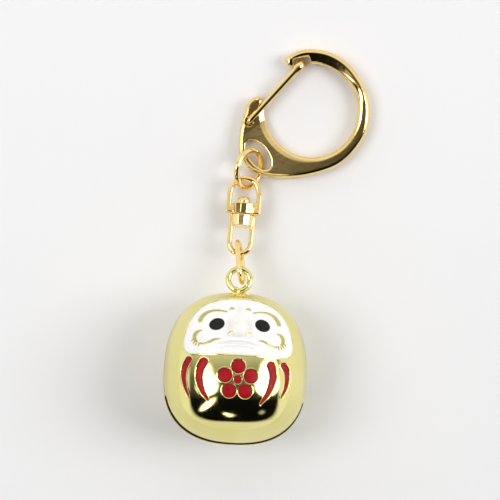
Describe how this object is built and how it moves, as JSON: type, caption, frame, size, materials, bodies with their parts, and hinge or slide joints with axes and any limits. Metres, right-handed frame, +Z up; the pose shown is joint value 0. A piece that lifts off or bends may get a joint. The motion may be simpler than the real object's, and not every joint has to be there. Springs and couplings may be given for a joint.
{
  "type": "daruma bell key charm",
  "caption": "Gilt jingle bell shaped as a round folk doll with an enamelled face, on a short swivel chain with a spring-gate clasp for keys.",
  "frame": {"origin": "middle of the base of the whole charm's box, on the table that it lies on", "axes": "+Z up off the table and out of the doll's face, +Y from the bell along the chain towards the clasp, +X to the viewer's right when looking down at the face with the bell nearest"},
  "size_m": [0.0388, 0.0746, 0.0238],
  "materials": {
    "bell_gold": "bright pale gold plating on stamped brass, mirror polished",
    "chain_gold": "bright warm gold plating on brass and zinc, mirror polished",
    "ball_steel": "plain tumbled steel",
    "white_enamel": "glossy soft enamel",
    "black_enamel": "glossy soft enamel",
    "red_enamel": "glossy translucent soft enamel"
  },
  "bodies": {
    "bell": {"bell_front_shell": "bell_gold", "bell_back_shell": "bell_gold", "bell_loop": "bell_gold", "face_enamel": "white_enamel", "eye_left": "black_enamel", "eye_right": "black_enamel", "stripe_left_outer": "red_enamel", "stripe_left_inner": "red_enamel", "stripe_right_inner": "red_enamel", "stripe_right_outer": "red_enamel", "blossom_petal_1": "red_enamel", "blossom_petal_2": "red_enamel", "blossom_petal_3": "red_enamel", "blossom_petal_4": "red_enamel", "blossom_petal_5": "red_enamel", "blossom_heart": "red_enamel"},
    "ball": {"rattle_ball": "ball_steel"},
    "link": {"lower_link": "chain_gold"},
    "swivel_lower": {"swivel_eye": "chain_gold", "swivel_pin": "chain_gold"},
    "swivel_upper": {"swivel_stirrup": "chain_gold"},
    "ring": {"jump_ring": "chain_gold"},
    "clasp": {"clasp_body": "chain_gold"},
    "gate": {"gate_wire": "chain_gold"}
  },
  "joints": [
    {"name": "ball_roll", "type": "hinge", "parent": "bell", "child": "ball", "pos_m": [-0.00608, -0.02449, 0.012], "axis": [0.9972, -0.0535, -0.0517], "continuous": true},
    {"name": "link_swing", "type": "hinge", "parent": "bell", "child": "link", "pos_m": [-0.00516, -0.00432, 0.0088], "axis": [0.9972, -0.0535, -0.0517], "range_deg": [-40, 100]},
    {"name": "swivel_swing", "type": "hinge", "parent": "link", "child": "swivel_lower", "pos_m": [-0.00531, 0.00051, 0.00495], "axis": [-0.1926, 0.5112, 0.8376], "range_deg": [-70, 70]},
    {"name": "swivel_spin", "type": "hinge", "parent": "swivel_lower", "child": "swivel_upper", "pos_m": [-0.00398, 0.01274, 0.0028], "axis": [-0.0905, -0.9783, 0.1865], "continuous": true},
    {"name": "ring_swing", "type": "hinge", "parent": "swivel_upper", "child": "ring", "pos_m": [-0.00398, 0.01274, 0.0028], "axis": [0.9957, -0.0921, 0], "range_deg": [-22, 64]},
    {"name": "clasp_turn", "type": "hinge", "parent": "ring", "child": "clasp", "pos_m": [-0.00159, 0.01777, 0.0023], "axis": [0, 0, 1], "range_deg": [-25, 45]},
    {"name": "gate_swing", "type": "hinge", "parent": "clasp", "child": "gate", "pos_m": [-0.00349, 0.0235, 0.0016], "axis": [0, 0, -1], "range_deg": [0, 30], "stiffness_Nm_per_rad": 0.015, "springref_deg": -11.46}
  ]
}
